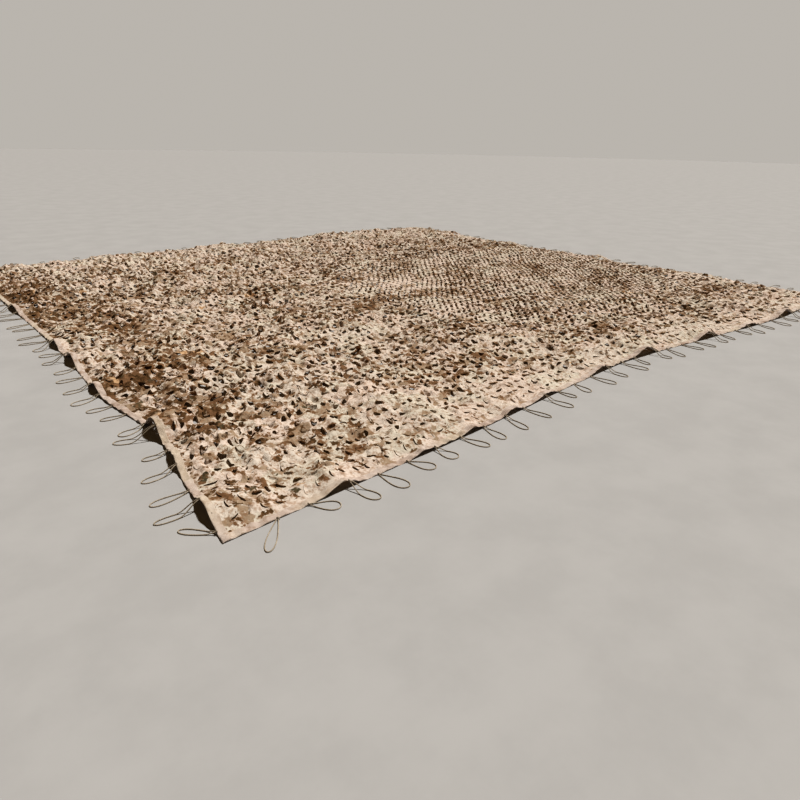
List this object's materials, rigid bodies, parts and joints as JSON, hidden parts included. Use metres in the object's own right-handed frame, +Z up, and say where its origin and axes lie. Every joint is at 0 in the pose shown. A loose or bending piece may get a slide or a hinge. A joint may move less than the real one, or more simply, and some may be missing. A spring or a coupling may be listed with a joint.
{
  "type": "camouflage netting",
  "caption": "Large rectangle of incised desert camouflage netting laid flat on the ground, bound with a folded tape that carries cord tie loops all round.",
  "frame": {"origin": "on the ground under the middle of the netting", "axes": "+X along the front edge, the longer side; +Y towards the back edge; +Z up"},
  "size_m": [7.359, 7.053, 0.0921],
  "materials": {
    "camouflage_cloth": "matt woven polyester, printed in sand, tan and brown",
    "beige_tape": "matt woven tape, plain beige",
    "tie_cord": "matt braided cord"
  },
  "bodies": {
    "root": {"net": "camouflage_cloth", "binding_front": "beige_tape", "binding_right": "beige_tape", "binding_back": "beige_tape", "binding_left": "beige_tape"}
  },
  "joints": []
}
